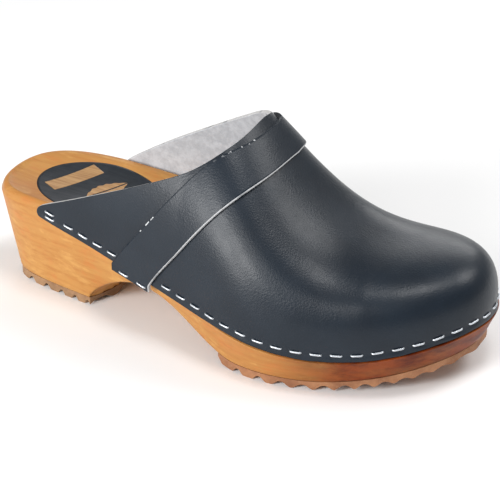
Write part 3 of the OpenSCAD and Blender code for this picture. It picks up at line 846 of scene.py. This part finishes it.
def make_strap(materials):
    """Strap over the upper, as one closed mesh: its section carried across the instep, and two ends."""
    uneven, uneven_l = 0.12, 34
    angles = row_angles(6, 64)
    angles = np.concatenate([[-STRAP_DROP, -STRAP_DROP * 0.5], angles])
    sides = []
    for side in (LATERAL, MEDIAL):
        k = np.clip(angles, 0, 90) / 90
        rear, front = smooth(STRAP_REAR, k), smooth(STRAP_FRONT, k)
        x, depth, slots = strap_section(rear, front)
        u = side_u(x, side)
        angle = np.broadcast_to(angles, x.shape)
        plain = face(u, angle)
        out = STRAP_GAP + LEATHER_T + uneven * noise(plain, uneven_l, 8) - depth[:, None]
        sides.append(beside(u, angle, out))
    grid = np.concatenate([sides[0], sides[1][:, ::-1]], 1)
    ids = np.arange(grid.shape[0] * grid.shape[1]).reshape(grid.shape[:2])
    body = quads(np.concatenate([ids, ids[:1]]))
    slot_of = np.repeat(slots, grid.shape[1] - 1)
    last = len(ids) - 3
    caps = []
    for end in (ids[:, 0], ids[:, -1]):
        caps += [[end[i], end[i + 1], end[last - i - 1], end[last - i]] for i in range(STRAP_COLUMNS)]
        caps += [[end[STRAP_COLUMNS], end[STRAP_COLUMNS + 1], end[STRAP_COLUMNS + 2], end[STRAP_COLUMNS + 3]],
                 [end[0], end[last], end[last + 1], end[last + 2]]]
    strap = mesh_piece("strap_leather", grid.reshape(-1, 3), [*body, *caps], materials,
                       slots=[*slot_of, *([EDGE_SLOT] * len(caps))])
    return place(strap, "strap_leather", "instep_strap")


def strap_section(rear, front):
    """Columns round the strap's section: how far forward, how deep, and the slot of the faces after each."""
    bevel, soft, fray = 0.36, 0.2, 0.7
    across = np.linspace(0, 1, STRAP_COLUMNS)
    outer = [rear + soft] + [mix(rear + fray, front - bevel, t) for t in across]
    inner = [mix(front - soft, rear + soft, t) for t in np.linspace(0, 1, STRAP_COLUMNS + 1)]
    x = np.stack(outer + [front, front] + inner + [rear, rear])
    deep = [0] * len(outer) + [bevel, LEATHER_T - soft] + [LEATHER_T] * len(inner) + [LEATHER_T - soft, soft]
    slots = [FRAYED_SLOT] + [0] * (STRAP_COLUMNS - 1) + [EDGE_SLOT] * 3 + [NAP_SLOT] * STRAP_COLUMNS
    slots += [FRAYED_SLOT] * 3
    return x, np.array(deep), slots


# ---- toe puff ----

def make_puff(material):
    toe_x = edge_point(np.array(0.5))[0]
    angles = np.linspace(PUFF_ANGLE, 90, 34)
    sides = []
    for side in (LATERAL, MEDIAL):
        x = np.stack([np.full(len(angles), toe_x - (toe_x - PUFF_FROM) * (1 - t) ** TOE_CROWDING)
                      for t in np.linspace(0, 1, 41)])
        u = side_u(x, side)
        angle = np.broadcast_to(angles, x.shape)
        sides.append(beside(u, angle, np.full(x.shape, -LEATHER_T - GLUE_GAP)))
    grid = np.concatenate([sides[0], sides[1][::-1]])
    ids = np.arange(grid.shape[0] * grid.shape[1]).reshape(grid.shape[:2])
    puff = mesh_piece("toe_puff_board", grid.reshape(-1, 3), quads(ids), [material], closed=False, sharp=60)
    thicken(puff, PUFF_T, 0, 0, 0.2)
    return place(puff, "stiffener", "toe_puff")


# ---- print on the heel seat ----

def seat_patch(name, material, rows, lift, thickness=0.12):
    """Thin patch that lies on the footbed. rows is a grid of places on it."""
    flat = np.asarray(rows, float)
    z = footbed_z(flat[..., 0], flat[..., 1]) + lift
    count = flat.shape[0] * flat.shape[1]
    ids = np.arange(count).reshape(flat.shape[:2])
    piece = mesh_piece(name, join(flat, z).reshape(-1, 3), quads(ids), [material], closed=False, sharp=60)
    if sum(p.normal.z for p in piece.data.polygons) < 0:
        piece.data.flip_normals()
    solid = piece.modifiers.new("thickness", "SOLIDIFY")
    solid.thickness = thickness / 1000
    solid.offset = -1
    return piece


def turned(points, degrees, at):
    a = math.radians(degrees)
    turn = np.array([[math.cos(a), math.sin(a)], [-math.sin(a), math.cos(a)]])
    return np.asarray(points, float) @ turn + np.array(at, float)


def make_print(dark, bare):
    around = np.linspace(0, 2 * math.pi, 121)
    ring = np.stack([PRINT_RADII[0] * np.cos(around), PRINT_RADII[1] * np.sin(around)], -1)
    rings = turned([ring * t for t in np.linspace(0.02, 1, 26)], PRINT_TURN, PRINT_AT)
    place(seat_patch("print_patch", dark, rings, PRINT_LIFT), "print", "insole_print")
    along, across = np.linspace(-LABEL_HALF_L, LABEL_HALF_L, 57), np.linspace(-LABEL_HALF_W, LABEL_HALF_W, 25)
    s, t = np.meshgrid(along, across, indexing="ij")
    label = turned(np.stack([s, t], -1), LABEL_TURN, LABEL_AT)
    place(seat_patch("print_label", bare, label, PRINT_MARK_LIFT), "wood")
    for k, side in enumerate((LATERAL, MEDIAL)):
        half = turned(leaf_half(side), LEAF_TURN, LEAF_AT)
        place(seat_patch(f"print_leaf_{k}", bare, half, PRINT_MARK_LIFT), "wood")


def leaf_half(side, length=25.0, width=6.4, vein=0.45):
    """One half of a plain leaf, beside its middle vein, with softly notched edges."""
    t = np.linspace(0, 1, 61)
    body = width * np.sin(math.pi * t) ** 0.85 * (1.15 - 0.35 * t)
    notch = 1 - 0.07 * (1 + np.sin(t * 2 * math.pi * 6))
    outer = np.maximum(body * notch, vein * 1.02)
    along = length * (t - 0.5)
    return np.stack([np.stack([along, side * mix(vein, outer, k)], -1) for k in np.linspace(0, 1, 9)])


# ---- staples ----

def walk(u, step, steps):
    """Place reached from u by going a number of steps of the given length along the edge."""
    for _ in range(steps):
        ends = edge_point(np.array([u - 0.001, u + 0.001]))
        u += step / (np.linalg.norm(ends[1] - ends[0]) / 0.002)
    return u


def staple_spot(u, rise, out=0.0):
    ends = np.array([u - 0.002, u + 0.002])
    low = join(edge_point(ends), profile(LOWER_EDGE_Z, edge_point(ends)[:, 0]))
    forward = low[1] - low[0]
    forward /= np.linalg.norm(forward)
    n = np.append(outward(np.array(u)), 0)
    at = low.mean(0) + [0, 0, rise] + n * out
    return {"at": at, "forward": forward, "n": n, "up": np.cross(n, forward)}


def from_toe(side, k):
    """Place of the staple that is k staples from the toe's middle one."""
    return walk(TOE_STAPLE_U, side * STAPLE_PITCH / 4, 4 * k)


def side_spots(side):
    """Staples of one side, by the group that the CAD gives them."""

    def spot_at(x, rise, out=0.0):
        return staple_spot(float(side_u(np.array(x), side)), rise, out)

    name = "lateral" if side == LATERAL else "medial"
    tip = [spot_at(TIP_STAPLE_X[side], STAPLE_RISE + (k - 0.5) * TIP_PAIR_GAP) for k in (0, 1)]
    quarter_x = [QUARTER_FROM_X[side] + k * QUARTER_PITCH for k in range(QUARTER_STAPLES[side])]
    quarter = [spot_at(x, STAPLE_RISE) for x in quarter_x]
    strap = [spot_at(x, -0.5 * STRAP_DROP, STRAP_GAP + LEATHER_T) for x in STRAP_STAPLE_X]
    past_toe = [from_toe(side, k) for k in range(TOE_SIDE_STAPLES + 1, MOST_SIDE_STAPLES + 1)]
    vamp = [staple_spot(u, STAPLE_RISE) for u in past_toe if edge_point(np.array(u))[0] > VAMP_TO_X]
    return {f"staples_tip_{name}": tip, f"staples_quarter_{name}": quarter, f"staples_strap_{name}": strap,
            f"staples_vamp_{name}": vamp}


def all_spots():
    spots = {**side_spots(LATERAL), **side_spots(MEDIAL)}
    toe = [staple_spot(TOE_STAPLE_U, STAPLE_RISE)]
    for side in (LATERAL, MEDIAL):
        toe += [staple_spot(from_toe(side, k), STAPLE_RISE) for k in range(1, TOE_SIDE_STAPLES + 1)]
    spots["staples_toe"] = toe
    return spots


def staple_path(bend=1.0, leg=2.5, bends=6):
    """Line along the wire, as distance along the crown and distance out from the leather."""
    half, out = CROWN_L / 2 - WIRE_D / 2, WIRE_D * 0.36
    right = [(half, -leg)]
    for a in np.radians(np.linspace(0, 90, bends)):
        right.append((half - bend + bend * math.cos(a), out - bend + bend * math.sin(a)))
    left = [(-x, n) for x, n in right]
    return np.array(left + right[::-1])


def staple_tube(spot, rng, around=12):
    """Rings of points round one staple's wire, which sits a little differently each time."""
    radius, flatness = 0.44 * WIRE_D, 0.86
    path = staple_path()
    tilt = rng.normal(0, 0.035)
    forward = spot["forward"] + spot["up"] * tilt
    forward /= np.linalg.norm(forward)
    up = np.cross(spot["n"], forward)
    at = spot["at"] + spot["n"] * rng.uniform(-0.1, 0.06) + spot["up"] * rng.normal(0, 0.12)
    centreline = at + path[:, :1] * forward + path[:, 1:] * spot["n"]
    tangent = np.gradient(path, axis=0)
    tangent /= np.linalg.norm(tangent, axis=1, keepdims=True)
    sideways = -tangent[:, 1:] * forward + tangent[:, :1] * spot["n"]
    turn = np.linspace(0, 2 * math.pi, around, endpoint=False)
    ring = np.cos(turn)[None, :, None] * up + flatness * np.sin(turn)[None, :, None] * sideways[:, None]
    return centreline[:, None] + radius * ring


def make_staples(material, spots):
    rng = np.random.default_rng(11)
    for node, places in spots.items():
        points, faces = [], []
        for spot in places:
            tube = staple_tube(spot, rng)
            start = sum(len(p) for p in points)
            ids = start + np.arange(tube.shape[0] * tube.shape[1]).reshape(tube.shape[:2])
            closed = np.concatenate([ids, ids[:, :1]], 1)
            faces += [list(q) for q in quads(closed)] + [list(ids[0][::-1]), list(ids[-1])]
            points.append(tube.reshape(-1, 3))
        piece = mesh_piece("wire_" + node, np.concatenate(points), faces, [material], sharp=60)
        place(piece, "staple_wire", node)


# ---- floor, lights and camera ----

def make_floor():
    s = Shader("studio_floor")
    tone = s.noise(3, 2, 0.5)
    s.set(Base_Color=s.blend(tone, (0.93, 0.93, 0.93, 1), (0.95, 0.95, 0.95, 1)), Roughness=0.9)
    s.set(Specular_IOR_Level=0.1)
    bpy.ops.mesh.primitive_plane_add(size=12, location=(0, 0, 0))
    floor = bpy.context.object
    floor.name = "studio_floor"
    floor.data.materials.append(s.material)


def area_light(name, at, aim, size, power):
    data = bpy.data.lights.new(name, "AREA")
    data.shape = "RECTANGLE"
    data.size, data.size_y = size
    data.energy = power
    lamp = bpy.data.objects.new(name, data)
    bpy.context.scene.collection.objects.link(lamp)
    lamp.location = at
    lamp.rotation_euler = (aim - at).to_track_quat("-Z", "Y").to_euler()


def softbox(name, azimuth, elevation, distance, size, power):
    """Soft lamp on the side of the object that the angles name, in degrees from +X and from the floor."""
    a, e = math.radians(azimuth), math.radians(elevation)
    at = Vector((math.cos(a) * math.cos(e), math.sin(a) * math.cos(e), math.sin(e))) * distance
    aim = Vector((0, 0, LAMP_AIM_Z))
    area_light(name, at + aim, aim, size, power)


def make_lights():
    world = bpy.data.worlds.new("studio")
    bpy.context.scene.world = world
    world.use_nodes = True
    background = world.node_tree.nodes["Background"]
    background.inputs["Color"].default_value = (1, 1, 1, 1)
    background.inputs["Strength"].default_value = 0.35
    softbox("overhead_back", 40, 50, 1.3, (0.6, 0.45), 5.6)
    softbox("overhead", -20, 74, 1.3, (0.4, 0.3), 4.6)
    softbox("left_low", -122, 14, 1.4, (0.4, 0.36), 9)
    softbox("left_middle", -105, 27, 1.4, (0.4, 0.36), 8.5)
    softbox("front_high", -86, 40, 1.4, (0.36, 0.3), 2)
    softbox("behind", 104, 20, 1.5, (0.9, 0.4), 4)
    bpy.context.scene.view_settings.view_transform = "Standard"


def make_camera():
    middle = (Vector(cad_box[0]) + Vector(cad_box[1])) / 2
    target = Vector((middle.x + CAMERA_ASIDE[0], middle.y + CAMERA_ASIDE[1], CAMERA_TARGET_Z))
    azimuth, elevation = math.radians(CAMERA_AZIMUTH), math.radians(CAMERA_ELEVATION)
    back = Vector((math.sin(azimuth) * math.cos(elevation), -math.cos(azimuth) * math.cos(elevation),
                   math.sin(elevation)))
    data = bpy.data.cameras.new("camera")
    data.lens, data.sensor_width = CAMERA_LENS, CAMERA_SENSOR
    data.clip_start, data.clip_end = 0.01, 50
    camera = bpy.data.objects.new("camera", data)
    bpy.context.scene.collection.objects.link(camera)
    camera.location = target + back * CAMERA_DISTANCE
    camera.rotation_euler = (-back).to_track_quat("-Z", "Y").to_euler()
    bpy.context.scene.camera = camera


def build():
    navy = leather("leather_navy", linear(12, 23, 34), linear(18, 29, 40), linear(42, 54, 66))
    navy_strap = leather("leather_navy_strap", linear(14, 25, 36), linear(20, 31, 42), linear(44, 56, 68))
    edge = cut_edge("leather_cut_edge", linear(186, 185, 184), linear(74, 80, 88))
    strap_edge = cut_edge("leather_strap_edge", linear(204, 205, 207), linear(124, 128, 134))
    frayed = frayed_edge("leather_frayed_edge")
    nap = suede("leather_suede", linear(202, 205, 210), linear(181, 184, 189))
    spots = all_spots()
    make_sole(wood("wood_alder"))
    make_heel_tread(rubber("rubber_heel", linear(158, 122, 88), linear(128, 97, 70)))
    make_forefoot_tread(rubber("rubber_forefoot", linear(166, 116, 80), linear(134, 88, 60)))
    pressed = [s for node, places in spots.items() if "strap" not in node for s in places]
    make_upper([navy, edge, nap], pressed)
    make_strap([navy_strap, strap_edge, nap, frayed])
    make_puff(stiffener_board("stiffener_fibre"))
    make_print(ink("print_ink"), bare_label("print_bare_wood"))
    make_staples(wire("staple_steel"), spots)
    make_floor()
    make_lights()
    make_camera()


build()
